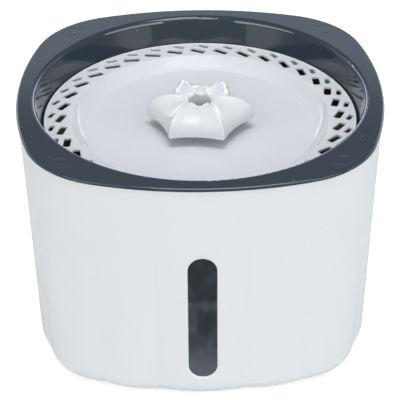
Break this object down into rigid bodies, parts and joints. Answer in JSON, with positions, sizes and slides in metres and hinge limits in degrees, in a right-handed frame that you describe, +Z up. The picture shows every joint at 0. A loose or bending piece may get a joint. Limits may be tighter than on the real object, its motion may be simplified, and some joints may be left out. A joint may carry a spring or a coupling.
{
  "type": "pet water fountain",
  "caption": "Rounded-square white drinking fountain for pets with a grey top ring, perforated round tray, flower spout, level window, filter and pump.",
  "frame": {"origin": "centre of the base, on the surface the fountain stands on", "axes": "+Z up, the level window faces -Y, +X to the right"},
  "size_m": [0.1856, 0.1856, 0.1273],
  "materials": {
    "tank_white": "satin moulded ABS, cool white",
    "smoky_clear": "smoky transparent acrylic",
    "silicone_grey": "soft silicone",
    "foot_rubber": "pale rubber pad",
    "ring_slate": "slate-grey glossy ABS",
    "tray_white": "glossy white ABS",
    "spout_white": "high-gloss white ABS",
    "silicone_clear": "translucent silicone",
    "basket_slate": "satin slate-grey polypropylene",
    "frame_white": "white polypropylene",
    "cotton": "needled cotton felt",
    "carbon_felt": "carbon-loaded felt",
    "resin_amber": "ion-exchange granules",
    "carbon_black": "activated-carbon granules",
    "riser_clear": "white pipe",
    "pump_black": "fine-textured black ABS",
    "cup_rubber": "soft black rubber",
    "gland_rubber": "black rubber",
    "core_steel": "laminated steel",
    "coil_copper": "enamelled copper winding",
    "ceramic_white": "polished ceramic",
    "bush_rubber": "hard rubber",
    "magnet_grey": "ferrite magnet",
    "impeller_white": "white acetal",
    "dial_grey": "grey acetal",
    "cover_black": "fine-textured black ABS",
    "foam_dark": "open-cell foam"
  },
  "bodies": {
    "tank": {"tank_shell": "tank_white", "level_window": "smoky_clear", "window_gasket": "silicone_grey", "feet": "foot_rubber"},
    "pump": {"pump_housing": "pump_black", "suction_cups": "cup_rubber", "motor_backplate": "pump_black", "cable_gland": "gland_rubber", "stator_core": "core_steel", "stator_coil": "coil_copper", "rotor_shaft": "ceramic_white", "shaft_bushes": "bush_rubber", "volute_cover": "pump_black", "outlet_seal": "silicone_clear", "riser_tube": "riser_clear"},
    "rotor": {"magnet_rotor": "magnet_grey", "impeller": "impeller_white"},
    "dial": {"flow_dial": "dial_grey"},
    "intake": {"intake_cover": "cover_black", "intake_sponge": "foam_dark"},
    "ring": {"top_ring": "ring_slate"},
    "basket": {"filter_basket": "basket_slate"},
    "cartridge": {"filter_frame": "frame_white", "lower_felt": "cotton", "upper_felt": "carbon_felt", "resin_bed": "resin_amber", "carbon_bed": "carbon_black"},
    "drinking_tray": {"tray": "tray_white"},
    "spout": {"flower_spout": "spout_white", "spout_seal": "silicone_clear"}
  },
  "joints": [
    {"name": "pump_lift", "type": "slide", "parent": "tank", "child": "pump", "axis": [0, 0, 1], "range_m": [0, 0.13]},
    {"name": "rotor_spin", "type": "hinge", "parent": "pump", "child": "rotor", "pos_m": [0, 0, 0.025], "axis": [0, 1, 0], "continuous": true},
    {"name": "dial_turn", "type": "hinge", "parent": "pump", "child": "dial", "pos_m": [0, 0, 0.025], "axis": [0, 1, 0], "range_deg": [0, 60]},
    {"name": "cover_slide", "type": "slide", "parent": "pump", "child": "intake", "axis": [0, -1, 0], "range_m": [0, 0.03]},
    {"name": "ring_lift", "type": "slide", "parent": "pump", "child": "ring", "axis": [0, 0, 1], "range_m": [0, 0.06]},
    {"name": "basket_lift", "type": "slide", "parent": "ring", "child": "basket", "axis": [0, 0, 1], "range_m": [0, 0.05]},
    {"name": "cartridge_lift", "type": "slide", "parent": "basket", "child": "cartridge", "axis": [0, 0, 1], "range_m": [0, 0.03]},
    {"name": "tray_lift", "type": "slide", "parent": "cartridge", "child": "drinking_tray", "axis": [0, 0, 1], "range_m": [0, 0.04]},
    {"name": "spout_lift", "type": "slide", "parent": "drinking_tray", "child": "spout", "axis": [0, 0, 1], "range_m": [0, 0.04]}
  ]
}
